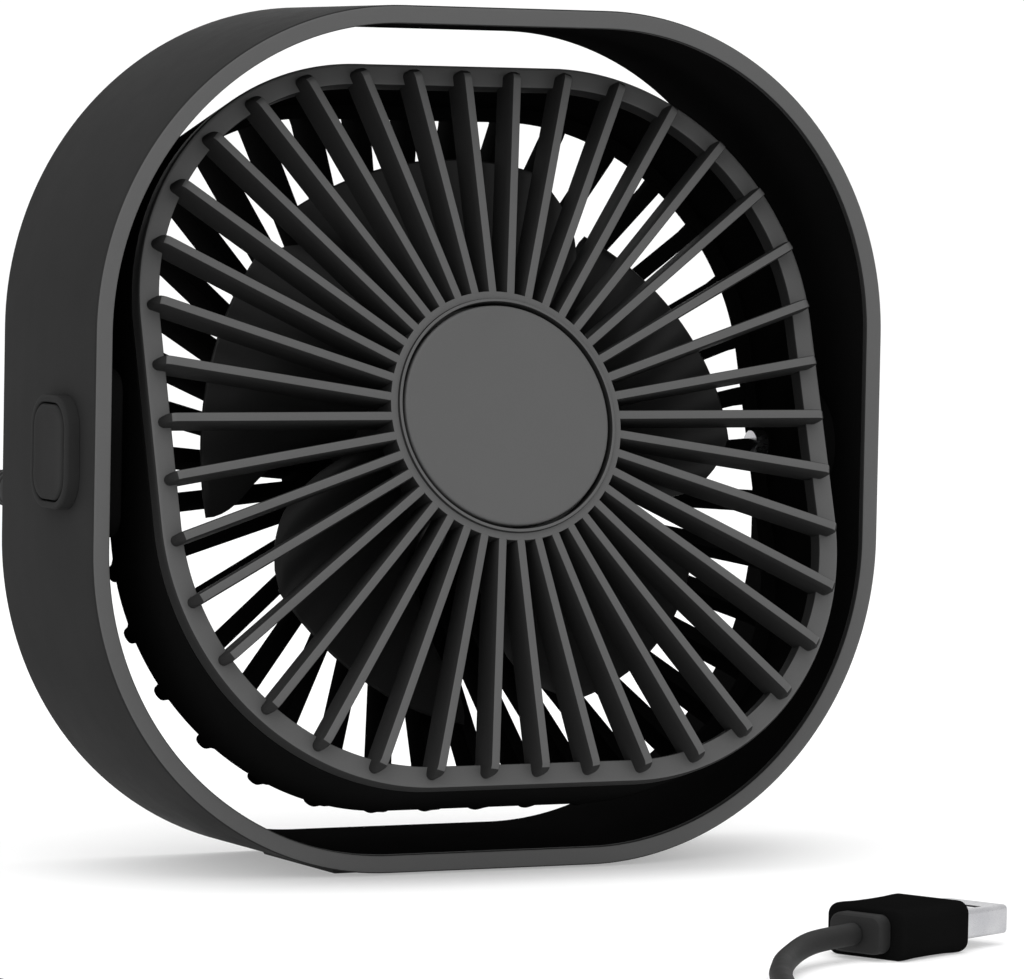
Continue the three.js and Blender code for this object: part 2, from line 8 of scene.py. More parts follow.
import bmesh
import bpy
from mathutils import Matrix, Vector


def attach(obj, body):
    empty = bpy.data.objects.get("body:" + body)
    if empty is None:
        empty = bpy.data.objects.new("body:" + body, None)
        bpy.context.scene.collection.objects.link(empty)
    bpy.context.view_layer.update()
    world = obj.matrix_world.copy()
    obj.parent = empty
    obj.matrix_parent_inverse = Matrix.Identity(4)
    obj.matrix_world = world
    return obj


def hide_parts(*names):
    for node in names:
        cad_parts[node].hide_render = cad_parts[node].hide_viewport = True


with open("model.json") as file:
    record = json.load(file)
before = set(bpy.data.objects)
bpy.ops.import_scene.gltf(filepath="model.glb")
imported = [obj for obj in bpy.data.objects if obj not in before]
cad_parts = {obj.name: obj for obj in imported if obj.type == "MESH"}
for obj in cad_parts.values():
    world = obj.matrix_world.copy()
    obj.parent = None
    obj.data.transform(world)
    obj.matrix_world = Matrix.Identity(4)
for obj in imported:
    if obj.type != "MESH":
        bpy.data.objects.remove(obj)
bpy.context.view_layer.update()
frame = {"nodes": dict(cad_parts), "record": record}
MM = 0.001

# ------------------------------------------------------------ driving dimensions, as in the CAD
FRAME = dict(x=74.05, z=72.5, corner=54.85, depth=39.3, wall=3.1)  # x and z are half sizes
HALF = FRAME["depth"] / 2
SHELL_WALL, LIP = 1.1, 1.2
INNER_X = FRAME["x"] - FRAME["wall"] - 0.15  # where the pod and the right pivot start
POD_DEPTH = 4.5
FRAME_Z = 72.9
PIVOT_Z = 70.7
TILT = math.radians(16.4)
HEAD = dict(x=63.6, z=62.3, corner=44.95)  # x and z are half sizes
RIM = 3.8
RIM_Y = (-19.1, -16.2)
HOUSING_Y = (-15.9, 2.0)
SPOKES = 40
HUB_R, CAP_R, CAP_Y = 21.5, 19.0, -23.4
BLADES = 5
BUTTON_Y = -6.0
BUTTON = dict(y=7.7, z=9.4, corner=5.6, proud=2.5, rim=1.25)
CORD_R = 1.75
EXIT = (-70.15, 39.95, 62.7)
COIL = (-77.9, -207.0)
COIL_EDGE, COIL_OUTER = 28.45, 24.65  # radius where the cord joins, and of a layer's outer turn
COIL_PITCH = 3.7
COIL_LOW, COIL_HIGH = 1.76, 5.3  # centreline heights of the two layers
COIL_TURNS = 5 + 153.43 / 360
LAYER_TURNS = 2
LEAD_IN, LEAD_OUT = 0.24, 0.28  # turns
CLIMB_DIP = 2.4  # how far the climb between the layers moves inwards
PLUG_AT = (6.2, -132.8, 4.0)
PLUG_HEADING = math.radians(23.43)

IN_FRAME = Matrix.Translation((0, 0, FRAME_Z))
AT_PIVOT = Matrix.Translation((0, 0, PIVOT_Z))
IN_HEAD = AT_PIVOT @ Matrix.Rotation(-TILT, 4, "X")
ON_PLUG = Matrix.Translation(PLUG_AT) @ Matrix.Rotation(PLUG_HEADING, 4, "Z")


# ------------------------------------------------------------ camera
CAMERA_TURN = math.radians(-26.592)
CAMERA_RISE = math.radians(2.852)
CAMERA_ROLL = math.radians(1.065)
CAMERA_DISTANCE = 1.016
LENS, SENSOR = 208.8, 36
SHIFT = (0.0628, -0.0543)


def make_camera():
    """The camera looks from the front left, a little above the axis, through a long lens."""
    level = math.cos(CAMERA_RISE)
    back = Vector(
        (math.sin(CAMERA_TURN) * level, -math.cos(CAMERA_TURN) * level, math.sin(CAMERA_RISE))
    )
    data = bpy.data.cameras.new("camera")
    data.lens = LENS
    data.sensor_width = SENSOR
    data.shift_x, data.shift_y = SHIFT
    data.clip_start, data.clip_end = 0.05, 20
    camera = bpy.data.objects.new("camera", data)
    camera.location = Vector((0, 0, FRAME_Z * MM)) + back * CAMERA_DISTANCE
    look = (-back).to_track_quat("-Z", "Y").to_matrix().to_4x4()
    camera.rotation_euler = (look @ Matrix.Rotation(CAMERA_ROLL, 4, "Z")).to_euler()
    bpy.context.scene.collection.objects.link(camera)
    bpy.context.scene.camera = camera


make_camera()


# ------------------------------------------------------------ node materials
class Nodes:
    """A material under construction: adds nodes and joins them."""

    def __init__(self, name):
        self.material = bpy.data.materials.new(name)
        self.material.use_nodes = True
        self.tree = self.material.node_tree
        self.shader = self.tree.nodes["Principled BSDF"]

    def add(self, kind, inputs=(), **settings):
        node = self.tree.nodes.new(kind)
        for key, value in settings.items():
            setattr(node, key, value)
        for key, value in dict(inputs).items():
            self.feed(value, node.inputs[key])
        return node

    def feed(self, value, socket):
        if isinstance(value, bpy.types.NodeSocket):
            self.tree.links.new(value, socket)
        else:
            socket.default_value = value

    def place(self, scale=(1, 1, 1)):
        where = self.add("ShaderNodeTexCoord").outputs["Object"]
        return self.add("ShaderNodeMapping", {"Vector": where, "Scale": scale}).outputs[0]

    def noise(self, scale, detail=3.0, rough=0.6, stretch=(1, 1, 1)):
        inputs = {"Vector": self.place(stretch), "Scale": scale}
        inputs |= {"Detail": detail, "Roughness": rough}
        return self.add("ShaderNodeTexNoise", inputs).outputs["Fac"]

    def remap(self, value, low, high, start=0.3, stop=0.7):
        inputs = {"Value": value, "From Min": start, "From Max": stop}
        inputs |= {"To Min": low, "To Max": high}
        return self.add("ShaderNodeMapRange", inputs).outputs[0]

    def mix(self, factor, a, b):
        node = self.add("ShaderNodeMix", data_type="RGBA")
        self.feed(factor, node.inputs[0])
        self.feed((*a, 1) if isinstance(a, tuple) else a, node.inputs[6])
        self.feed((*b, 1) if isinstance(b, tuple) else b, node.inputs[7])
        return node.outputs[2]

    def bump(self, height, distance, strength):
        inputs = {"Height": height, "Distance": distance, "Strength": strength}
        return self.add("ShaderNodeBump", inputs).outputs[0]

    def set(self, **inputs):
        for key, value in inputs.items():
            self.feed(value, self.shader.inputs[key.replace("_", " ")])
        return self.material


def grey(level):
    return (level, level, level)


def moulded(name, dark, light, gloss, grain=5200, depth=0.00003, specular=0.5):
    """Moulded plastic: fine grain, slow colour drift and streaks of varying gloss."""
    n = Nodes(name)
    fine = n.noise(grain, 2.0, 0.7)
    cloud = n.noise(55, 4.0, 0.6)
    streak = n.noise(260, 3.0, 0.6, (1.0, 1.0, 0.18))
    colour = n.mix(n.remap(cloud, 0.0, 1.0), dark, light)
    colour = n.mix(n.remap(fine, 0.0, 0.3), colour, tuple(0.8 * c for c in dark))
    rough = n.remap(streak, gloss - 0.02, gloss + 0.03)
    normal = n.bump(fine, depth, 0.35)
    return n.set(Base_Color=colour, Roughness=rough, Normal=normal, Specular_IOR_Level=specular)


def soft_rubber(name, dark, light):
    """Soft cord jacket or pad: matt and slightly mottled."""
    n = Nodes(name)
    fine = n.noise(3800, 3.0, 0.7)
    cloud = n.noise(120, 4.0, 0.65)
    colour = n.mix(n.remap(cloud, 0.0, 1.0), dark, light)
    rough = n.remap(cloud, 0.64, 0.84)
    normal = n.bump(fine, 0.00004, 0.45)
    return n.set(Base_Color=colour, Roughness=rough, Normal=normal, Specular_IOR_Level=0.3)


def metal(name, dark, light, gloss):
    """Plated or ground metal: fine lines along X and faint tarnish clouds."""
    n = Nodes(name)
    lines = n.noise(900, 3.0, 0.7, (1, 14, 14))
    cloud = n.noise(140, 3.0, 0.6)
    colour = n.mix(n.remap(cloud, 0.0, 1.0), dark, light)
    rough = n.remap(lines, gloss - 0.07, gloss + 0.12)
    normal = n.bump(lines, 0.00002, 0.3)
    return n.set(Base_Color=colour, Roughness=rough, Metallic=1.0, Normal=normal)


def winding(name):
    """Enamelled wire wound in turns half a millimetre apart."""
    n = Nodes(name)
    inputs = {"Vector": n.place(), "Scale": 640.0, "Distortion": 0.6}
    turns = n.add("ShaderNodeTexWave", inputs, bands_direction="Y").outputs["Fac"]
    colour = n.mix(turns, (0.32, 0.11, 0.04), (0.72, 0.34, 0.15))
    normal = n.bump(turns, 0.0001, 0.8)
    rough = n.remap(turns, 0.4, 0.25, 0, 1)
    return n.set(Base_Color=colour, Roughness=rough, Metallic=0.9, Normal=normal)


def circuit(name):
    """Green solder mask over copper tracks."""
    n = Nodes(name)
    inputs = {"Vector": n.place(), "Scale": 700.0, "Mortar Size": 0.06, "Brick Width": 0.9}
    tracks = n.add("ShaderNodeTexBrick", inputs).outputs["Fac"]
    colour = n.mix(tracks, (0.015, 0.12, 0.05), (0.05, 0.26, 0.12))
    normal = n.bump(tracks, 0.00005, 0.5)
    rough = n.remap(n.noise(500), 0.3, 0.45)
    return n.set(Base_Color=colour, Roughness=rough, Normal=normal)


def ferrite(name):
    """Sintered magnet: dull, dark and granular."""
    n = Nodes(name)
    grain = n.noise(2600, 4.0, 0.75)
    colour = n.mix(n.remap(grain, 0.0, 1.0), (0.035, 0.032, 0.03), (0.10, 0.09, 0.085))
    rough = n.remap(grain, 0.55, 0.8)
    normal = n.bump(grain, 0.00005, 0.6)
    return n.set(Base_Color=colour, Roughness=rough, Normal=normal)


def nylon(name):
    n = Nodes(name)
    cloud = n.noise(300, 4.0, 0.6)
    colour = n.mix(n.remap(cloud, 0.0, 1.0), (0.66, 0.64, 0.57), (0.78, 0.76, 0.70))
    normal = n.bump(n.noise(2400), 0.00003, 0.3)
    return n.set(Base_Color=colour, Roughness=n.remap(cloud, 0.38, 0.52), Normal=normal)


MATERIALS = {
    # face_plastic is the same plastic in a lighter tone: painted light on the faces that look
    # straight ahead
    "face_plastic": moulded("face_plastic", grey(0.072), grey(0.076), 0.50, specular=0.3),
    "black_plastic": moulded("black_plastic", grey(0.0042), grey(0.0054), 0.55, specular=0.0),
    "blade_plastic": moulded(
        "blade_plastic", grey(0.013), grey(0.017), 0.30, grain=3000, depth=0.00002, specular=0.15
    ),
    "rubber": soft_rubber("rubber", grey(0.006), grey(0.010)),
    "steel": metal("steel", (0.40, 0.40, 0.42), (0.52, 0.52, 0.53), 0.26),
    "gold_contact": metal("gold_contact", (0.75, 0.52, 0.20), (0.86, 0.66, 0.32), 0.22),
    "copper_wire": winding("copper_wire"),
    "circuit_board": circuit("circuit_board"),
    "magnet": ferrite("magnet"),
    "nylon": nylon("nylon"),
}

# The photograph shows the flanks much darker than the faces that look straight ahead.
# A darker copy of the same plastic: painted shade on every face that doesn't look straight ahead.
FLANK_PAINTED_SHADE = moulded("flank_painted_shade", grey(0.021), grey(0.024), 0.5, specular=0.008)


def paint_shade_on_flanks(obj, place):
    """Paints shade on the flanks: every face that doesn't look straight ahead gets the darker
    copy of the plastic.
    """
    ahead = place.to_3x3() @ Vector((0, -1, 0))
    obj.data.materials.append(FLANK_PAINTED_SHADE)
    for face in obj.data.polygons:
        face.material_index = 0 if face.normal.dot(ahead) > 0.8 else 1


def dress_cad_nodes():
    """Gives every CAD node the material of its slot."""
    slots = {row["node"]: row["material_slot"] for row in frame["record"]["subparts"]}
    for name, obj in frame["nodes"].items():
        obj.data.materials.clear()
        obj.data.materials.append(MATERIALS[slots[name]])


dress_cad_nodes()


# ------------------------------------------------------------ mesh building
OUTLINE_ARC = 48  # segments in each corner of the frame's and the head's outline


def filleted(points, steps):
    """Rounds each corner (a, b, radius) of a closed polygon."""
    done = []
    for i, (a, b, radius) in enumerate(points):
        here = Vector((a, b))
        before = Vector(points[i - 1][:2]) - here
        after = Vector(points[(i + 1) % len(points)][:2]) - here
        if radius <= 0:
            done.append(here)
            continue
        start = here + before.normalized() * min(radius, before.length * 0.49)
        stop = here + after.normalized() * min(radius, after.length * 0.49)
        for k in range(steps + 1):
            t = k / steps
            done.append(start * (1 - t) ** 2 + here * 2 * t * (1 - t) + stop * t * t)
    return done


def rectangle(a, b, corner, arc):
    """Points round a rounded rectangle with half sizes a and b."""
    corner = max(corner, 0.02)
    points = []
    for quarter in range(4):
        u = (a - corner) * (1, -1, -1, 1)[quarter]
        v = (b - corner) * (1, 1, -1, -1)[quarter]
        for k in range(arc + 1):
            turn = (quarter + k / arc) * math.pi / 2
            points.append((u + corner * math.cos(turn), v + corner * math.sin(turn)))
    return points


def reach(inset, angle):
    """Distance from the axis to the head's outline, inset by some amount."""
    a, b, r = HEAD["x"] - inset, HEAD["z"] - inset, HEAD["corner"] - inset
    c, s = abs(math.cos(angle)), abs(math.sin(angle))
    if c > 1e-6 and a / c * s <= b - r:
        return a / c
    if s > 1e-6 and b / s * c <= a - r:
        return b / s
    along = (a - r) * c + (b - r) * s
    return along + math.sqrt(along * along - (a - r) ** 2 - (b - r) ** 2 + r * r)


def about(axis, r, turn, along):
    """Point at a distance and an angle round the X or the Y axis."""
    u, v = r * math.cos(turn), r * math.sin(turn)
    return (along, u, v) if axis == "X" else (u, along, v)


def outward_mesh(name, points, faces, place):
    """A mesh in metres, from points in millimetres, with its faces turned outwards."""
    mesh = bpy.data.meshes.new(name)
    mesh.from_pydata([(place @ p) * MM for p in points], [], faces)
    edit = bmesh.new()
    edit.from_mesh(mesh)
    bmesh.ops.recalc_face_normals(edit, faces=edit.faces)
    edit.to_mesh(mesh)
    edit.free()
    return mesh


class Body:
    """Vertices and faces of one visual piece."""

    def __init__(self):
        self.points = []
        self.faces = []

    def rings(self, rings, closed=False):
        """Joins loops of equally many points; an open run gets a cap at each end."""
        base, n, last = len(self.points), len(rings[0]), len(rings) - 1
        self.points += [Vector(p) for ring in rings for p in ring]
        for k in range(last + 1 if closed else last):
            a, b = base + k * n, base + (k + 1) % (last + 1) * n
            self.faces += [(a + i, a + (i + 1) % n, b + (i + 1) % n, b + i) for i in range(n)]
        if not closed:
            self.faces.append(tuple(range(base, base + n)))
            self.faces.append(tuple(range(base + last * n, base + last * n + n)))
        return self

    def lathe(self, profile, axis, sides):
        """Turns a closed (radius, along) profile round an axis."""
        turns = [2 * math.pi * k / sides for k in range(sides)]
        return self.rings([[about(axis, r, t, y) for t in turns] for r, y in profile], True)

    def band(self, box, profile):
        """Sweeps a closed (inset, y) profile round a rounded rectangle in X and Z."""
        rings = []
        for inset, y in profile:
            sizes = [box[key] - inset for key in ("x", "z", "corner")]
            line = rectangle(*sizes, OUTLINE_ARC)
            rings.append([(x, y, z) for x, z in line])
        return self.rings(rings, True)

    def stack(self, a, b, corner, profile, arc, closed=False):
        """Rounded rectangles in Y and Z at each (inset, x) of a profile."""
        rings = []
        for inset, x in profile:
            line = rectangle(a - inset, b - inset, corner - inset, arc)
            rings.append([(x, y, z) for y, z in line])
        return self.rings(rings, closed)

    def make(self, name, body, slot, nodes, place=Matrix(), sharp=32):
        """Finishes the piece; edges sharper than some degrees stay sharp."""
        mesh = outward_mesh(name, self.points, self.faces, place)
        mesh.shade_smooth()
        mesh.set_sharp_from_angle(angle=math.radians(sharp))
        return adopt(bpy.data.objects.new(name, mesh), body, slot, nodes)


def adopt(obj, body, slot, nodes):
    """Links a finished piece, and gives it its material, its body and the nodes it stands for."""
    bpy.context.scene.collection.objects.link(obj)
    obj.data.materials.append(MATERIALS[slot])
    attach(obj, body)
    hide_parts(*nodes)
    return obj


# ------------------------------------------------------------ cord
FAN_ROUTE = [
    (-70.15, 22, 62.7), (-70.15, 30, 62.7), (-70.15, 39.95, 62.7), (-70.15, 41.95, 62.6),
    (-70.45, 47.4, 60.5), (-71.35, 54.5, 55.5), (-72.75, 59.2, 45), (-74.55, 61, 32),
    (-77.15, 61.2, 19.5), (-81.5, 59.6, 9.4), (-86.6, 54.2, 3.6), (-92, 44, 1.9),
    (-97, 29, 1.85), (-102, 9, 1.85), (-107, -13, 1.85), (-113, -37, 1.85),
    (-120.5, -60.5, 1.85), (-128, -83, 1.85), (-135.2, -106.5, 1.85), (-136.2, -130, 1.85),
    (-130, -152, 1.85), (-121, -173, 1.85), (-111.5, -191.5, 1.85), (-106.35, -207, 1.85),
]
PLUG_ROUTE = [
    (-52.45, -219.73, 1.85), (-42.6, -201.3, 1.85), (-34.4, -182.8, 1.85), (-27.3, -166.8, 1.85),
    (-20.8, -154.2, 2.0), (-14.2, -145.0, 2.6), (-6.6, -138.5, 3.6), (3.17, -134.11, 4.0),
]


def catmull_rom(points, steps):
    """Centripetal Catmull-Rom curve through the points, as the CAD's cord follows."""
    points = [Vector(p) for p in points]
    ends = [2 * points[0] - points[1], *points, 2 * points[-1] - points[-2]]
    line = []
    for p0, p1, p2, p3 in zip(ends, ends[1:], ends[2:], ends[3:]):
        d0, d1, d2 = [math.sqrt((b - a).length) for a, b in ((p0, p1), (p1, p2), (p2, p3))]
        m1 = ((p1 - p0) / d0 - (p2 - p0) / (d0 + d1) + (p2 - p1) / d1) * d1
        m2 = ((p2 - p1) / d1 - (p3 - p1) / (d1 + d2) + (p3 - p2) / d2) * d1
        for k in range(steps):
            t = k / steps
            line.append(
                p1 * (2 * t**3 - 3 * t**2 + 1) + m1 * (t**3 - 2 * t**2 + t)
                + p2 * (3 * t**2 - 2 * t**3) + m2 * (t**3 - t**2)
            )
    return line + [points[-1]]


def ease(t):
    """0 up to t = 0, 1 from t = 1, and smooth between them."""
    t = min(1.0, max(0.0, t))
    return t * t * (3 - 2 * t)


def coil_line(steps=44):
    """In along the outside, two turns inwards, up a layer, two turns outwards and down."""
    climb = COIL_TURNS - 2 * LAYER_TURNS - LEAD_IN - LEAD_OUT
    inner = COIL_OUTER - LAYER_TURNS * COIL_PITCH
    line = []
    for k in range(1, int(COIL_TURNS * steps)):
        t = k / steps
        rise = (t - LEAD_IN - LAYER_TURNS) / climb
        z = COIL_LOW + (COIL_HIGH - COIL_LOW) * ease(rise)
        if t < LEAD_IN:
            r = COIL_EDGE + (COIL_OUTER - COIL_EDGE) * ease(t / LEAD_IN)
        elif t < LEAD_IN + LAYER_TURNS:
            r = COIL_OUTER - COIL_PITCH * (t - LEAD_IN)
        elif rise < 1:
            r = inner - CLIMB_DIP * math.sin(math.pi * rise) ** 2
        elif t < COIL_TURNS - LEAD_OUT:
            r = inner + COIL_PITCH * (t - LEAD_IN - LAYER_TURNS - climb)
        else:
            left = (t - COIL_TURNS + LEAD_OUT) / LEAD_OUT
            r = COIL_OUTER + (COIL_EDGE - COIL_OUTER) * ease(left * 1.45)
            z = COIL_HIGH - (COIL_HIGH - COIL_LOW) * ease((left - 0.12) / 0.88)
        turn = math.pi + 2 * math.pi * t
        line.append(Vector((COIL[0] + r * math.cos(turn), COIL[1] + r * math.sin(turn), z)))
    return line


def make_cord():
    line = catmull_rom(FAN_ROUTE, 8) + coil_line() + catmull_rom(PLUG_ROUTE, 8)
    data = bpy.data.curves.new("usb_cord", "CURVE")
    data.dimensions = "3D"
    spline = data.splines.new("POLY")
    spline.points.add(len(line) - 1)
    for point, place in zip(spline.points, line):
        point.co = (*(place * MM), 1)
    spline.use_smooth = True
    data.bevel_depth = CORD_R * MM
    data.bevel_resolution = 4
    data.use_fill_caps = True
    cord = bpy.data.objects.new("usb_cord", data)
    runs = ("cord_inner", "cord_fan_run", "cord_coil", "cord_plug_run")
    adopt(cord, "frame", "rubber", runs)
    return cord


cord = make_cord()


def cord_tie():
    """Flat strap with rounded corners round the coil's bundle."""
    low, high = (13.4, 0.02), (27.4, 8.6)
    middle, rise = (low[0] + high[0]) / 2, (low[1] + high[1]) / 2
    a, b = (high[0] - low[0]) / 2, (high[1] - low[1]) / 2
    profile = filleted([(0, -2.5, 0.2), (0, 2.5, 0.2), (0.65, 2.5, 0.2), (0.65, -2.5, 0.2)], 2)
    rings = []
    for inset, t in profile:
        line = rectangle(a - inset, b - inset, 2.2 - inset, 6)
        rings.append([(middle + u, t, rise + v) for u, v in line])
    turn = Matrix.Translation((*COIL, 0)) @ Matrix.Rotation(math.radians(355), 4, "Z")
    body = Body().rings(rings, True)
    return body.make("coil_tie", "frame", "rubber", ("cord_tie",), turn)


def strain_relief():
    """Flange and tapered, grooved sleeve on the frame's rear edge."""
    y = HALF
    line = [(1.85, y - 3.5, 0), (2.6, y - 3.5, 0), (2.6, y, 0)]
    line += [(3.5, y + 0.02, 0.2), (3.5, y + 2.3, 0.5)]
    for k in range(7):
        start = y + 3.0 + k * 2.35
        r = 3.25 - 0.11 * k
        line += [(r - 0.6, start, 0.2), (r, start + 0.45, 0.3), (r - 0.03, start + 1.6, 0.3)]
        line += [(r - 0.63, start + 2.0, 0.2)]
    line += [(2.35, y + 19.6, 0.3), (1.85, y + 19.98, 0)]
    place = Matrix.Translation((EXIT[0], 0, EXIT[2]))
    body = Body().lathe(filleted(line, 3), "Y", 40)
    return body.make("strain_relief", "frame", "rubber", ("cord_gland",), place, 40)


# ------------------------------------------------------------ plug
def plug_collar():
    steps = [(1.0, -3.0), (0.35, -2.85), (0.08, -2.55), (0, -2.2), (0, -0.3)]
    body = Body().stack(4.85, 3.0, 1.8, steps, 10)
    return body.make("plug_neck", "frame", "rubber", ("plug_collar",), ON_PLUG)


def plug_overmould():
    """Overmoulded grip with softened ends and a shallow waist."""
    profile = [(0.75, 0.0), (0.3, 0.12), (0.08, 0.4), (0, 0.8)]
    profile += [(0.0, 2.0), (0.12, 4.5), (0.16, 8.5), (0.12, 12.5), (0.0, 15.0)]
    profile += [(0, 16.2), (0.08, 16.6), (0.3, 16.88), (0.75, 17.0)]
    body = Body().stack(7.45, 4.0, 2.0, profile, 12)
    return body.make("plug_grip", "frame", "black_plastic", ("plug_body",), ON_PLUG, 40)


def carve(obj, cutter):
    """Cuts one mesh out of another for good, and drops the cutter."""
    cut = obj.modifiers.new("cut", "BOOLEAN")
    cut.object = cutter
    cut.solver = "EXACT"
    graph = bpy.context.evaluated_depsgraph_get()
    mesh = bpy.data.meshes.new_from_object(obj.evaluated_get(graph))
    obj.modifiers.clear()
    obj.data = mesh
    bpy.data.objects.remove(cutter)


def plug_sleeve():
    """Folded steel sleeve with two square windows above and two below."""
    corners = [(0, 17.3, 0.1), (0, 29.0, 0.12), (0.3, 29.0, 0.12), (0.3, 17.3, 0.1)]
    body = Body().stack(6.0, 2.25, 0.7, filleted(corners, 2), 6, closed=True)
    sleeve = body.make("plug_sleeve", "frame", "steel", ("plug_shell",), ON_PLUG, 40)
    windows = Body()
    line = rectangle(1.12, 1.5, 0.25, 4)
    for side in (-3.0, 3.0):
        rings = [[(23.02 + u, side + v, z) for u, v in line] for z in (-5.0, 5.0)]
        windows.rings(rings)
    mesh = outward_mesh("windows", windows.points, windows.faces, ON_PLUG)
    cutter = bpy.data.objects.new("windows", mesh)
    bpy.context.scene.collection.objects.link(cutter)
    carve(sleeve, cutter)
    return sleeve


tie = cord_tie()
relief = strain_relief()
plug_pieces = [plug_collar(), plug_overmould(), plug_sleeve(), frame["nodes"]["plug_tongue"]]
plug_pieces += [frame["nodes"][f"plug_contact_{k}"] for k in (1, 2, 3, 4)]


# ------------------------------------------------------------ frame
def frame_shell():
    """Outer shell with its front lip."""
    y = HALF
    wall = FRAME["wall"]
    line = [(0, -y, 0.6), (wall, -y, 0.4), (wall, -y + LIP, 0.1), (SHELL_WALL, -y + LIP, 0)]
    line += [(SHELL_WALL, y, 0.2), (0, y, 0.6)]
    body = Body().band(FRAME, filleted(line, 5))
    nodes = ("frame_outer_shell",)
    shell = body.make("frame_shell", "frame", "face_plastic", nodes, IN_FRAME, 40)
    # painted shade: faces that don't look straight ahead get the darker copy of the plastic
    paint_shade_on_flanks(shell, IN_FRAME)


def frame_liner():
    """Black liner inside the shell; its rear end widens to close the gap to the shell."""
    y, wall = HALF, FRAME["wall"]
    front, gap_x, rim_x = -y + 1.3, 2.15, 1.3
    line = [(gap_x, front, 0), (wall, front, 0.1), (wall, y, 0.5), (rim_x, y, 0.2)]
    line += [(rim_x, y - LIP, 0), (gap_x, y - LIP, 0)]
    body = Body().band(FRAME, filleted(line, 4))
    body.make("frame_liner", "frame", "black_plastic", ("frame_inner_liner",), IN_FRAME, 40)


def sole_height(x):
    """Underside of the frame above the table at some x."""
    flat = FRAME["x"] - FRAME["corner"]
    off = max(0.0, abs(x) - flat)
    return FRAME_Z - (FRAME["z"] - FRAME["corner"]) - math.sqrt(FRAME["corner"] ** 2 - off**2)


def foot_pad():
    """Pad with rounded ends and edges, flat below, that fits up against the frame."""
    half, end, steps = 27.0, 0.5, 40
    overlap = 0.3  # how far the pad reaches up into the frame's wall
    xs = [half * math.sin(math.pi / 2 * k / steps) for k in range(-steps, steps + 1)]
    rings = []
    for y, inset in ((-14.0, 0.15), (-13.96, 0.05), (-13.85, 0)):
        under = []
        for x in xs:
            off = min(1, max(0.0, abs(x) - half + end) / end)
            z = inset + end * (1 - math.sqrt(1 - off**2))
            under.append((x * (1 - inset / half), z))
        over = [(x, max(z, sole_height(x) + overlap)) for x, z in reversed(under)]
        rings.append([(x, y, z) for x, z in under + over])
    rings += [[(x, -y, z) for x, y, z in ring] for ring in reversed(rings)]
    Body().rings(rings).make("foot_pad", "frame", "rubber", ("base_pad",), sharp=40)


def button_pieces():
    """Raised ring round the button, and the button with its plunger."""
    x = -FRAME["x"]
    face = x - BUTTON["proud"]
    at = Matrix.Translation((0, BUTTON_Y, PIVOT_Z))
    size = BUTTON["y"], BUTTON["z"], BUTTON["corner"]
    line = [(0, x - 0.05, 0), (0, face + 0.1, 0.6), (BUTTON["rim"], face + 0.1, 0.35)]
    line += [(BUTTON["rim"], x - 0.4, 0)]
    collar = Body().stack(*size, filleted(line, 5), 14, closed=True)
    ring = collar.make("button_ring", "frame", "black_plastic", ("button_collar",), at, 40)
    gap = BUTTON["rim"] + 0.25
    edge = [(0.0, 0.5), (0.07, 0.22), (0.25, 0.05), (0.55, 0.0)]  # (inset, depth behind the face)
    dish = [(1.2, 0.05), (2.2, 0.13), (3.4, 0.19), (4.0, 0.2)]
    key = [(gap, x - 1.05)] + [(gap + inset, face + depth) for inset, depth in edge + dish]
    body = Body().stack(*size, key, 14)
    rear, stem = x + 2.5, 1.6
    plunger = [(0.05, x - 1.1, 0), (stem, x - 1.1, 0), (stem, rear, 0.3), (0.05, rear, 0)]
    body.lathe([(r, u) for r, u in filleted(plunger, 3)], "X", 32)
    button = body.make("power_key", "button", "black_plastic", ("power_button",), at, 40)
    # Ring and key get the flank copy of the plastic, the painted shade of the frame's left side.
    for piece in (ring, button):
        piece.data.materials[0] = FLANK_PAINTED_SHADE


def switch_pod():
    """Pod inside the left wall that holds the switch board and the left pivot."""
    steps = [(0.35, 0), (0, 0.3), (0, 3.5), (0.1, 3.95), (0.35, 4.3), (0.8, POD_DEPTH)]
    at = AT_PIVOT @ Matrix.Translation((0, 2.675, 0))
    body = Body().stack(16.675, 14.0, 4.0, [(inset, x - INNER_X) for inset, x in steps], 10)
    body.make("switch_pod", "frame", "black_plastic", ("switch_housing",), at, 40)


def right_pivot():
    """Tapered boss inside the right wall, with the pin's bore through it."""
    wall, face, bore = INNER_X, INNER_X - POD_DEPTH, 2.65
    line = [(bore, face, 0.2), (8.6, face, 0.9), (10, wall, 0), (bore, wall, 0)]
    body = Body().lathe(filleted(line, 5), "X", 96)
    body.make("pivot_boss", "frame", "black_plastic", ("right_pivot_boss",), AT_PIVOT, 40)


# ------------------------------------------------------------ head
def bar(body, angle, stations):
    """A radial bar: at each distance r, a loop of (across, y) points."""
    c, s = math.cos(angle), math.sin(angle)
    rings = [[(r * c - t * s, y, r * s + t * c) for t, y in loop] for r, loop in stations]
    body.rings(rings)


def finger_loop(front, back, narrow):
    """Cross-section of a front finger: a flat face on a slightly wider body."""
    top, base = 0.64 * narrow, 0.94 * narrow
    deep = min(1.6, 0.5 * (back - front))
    edge = 0.16 * narrow
    half = [(base, back), (base, front + deep), (top + edge, front + 0.22)]
    half += [(top + 0.04, front + 0.05), (top - edge, front)]
    return [(-t, y) for t, y in half] + list(reversed(half))


def round_end(steps):
    """Shares of the way to a rounded end; the last stops just short, so no ring is a point."""
    return [math.sin(math.pi / 2 * k / (steps - 0.98)) for k in range(steps)]


def quarter(t):
    """Height of a quarter circle that starts to fall at t = 0 and ends at t = 1."""
    return math.sqrt(max(0.0, 1 - max(0.0, t) ** 2))


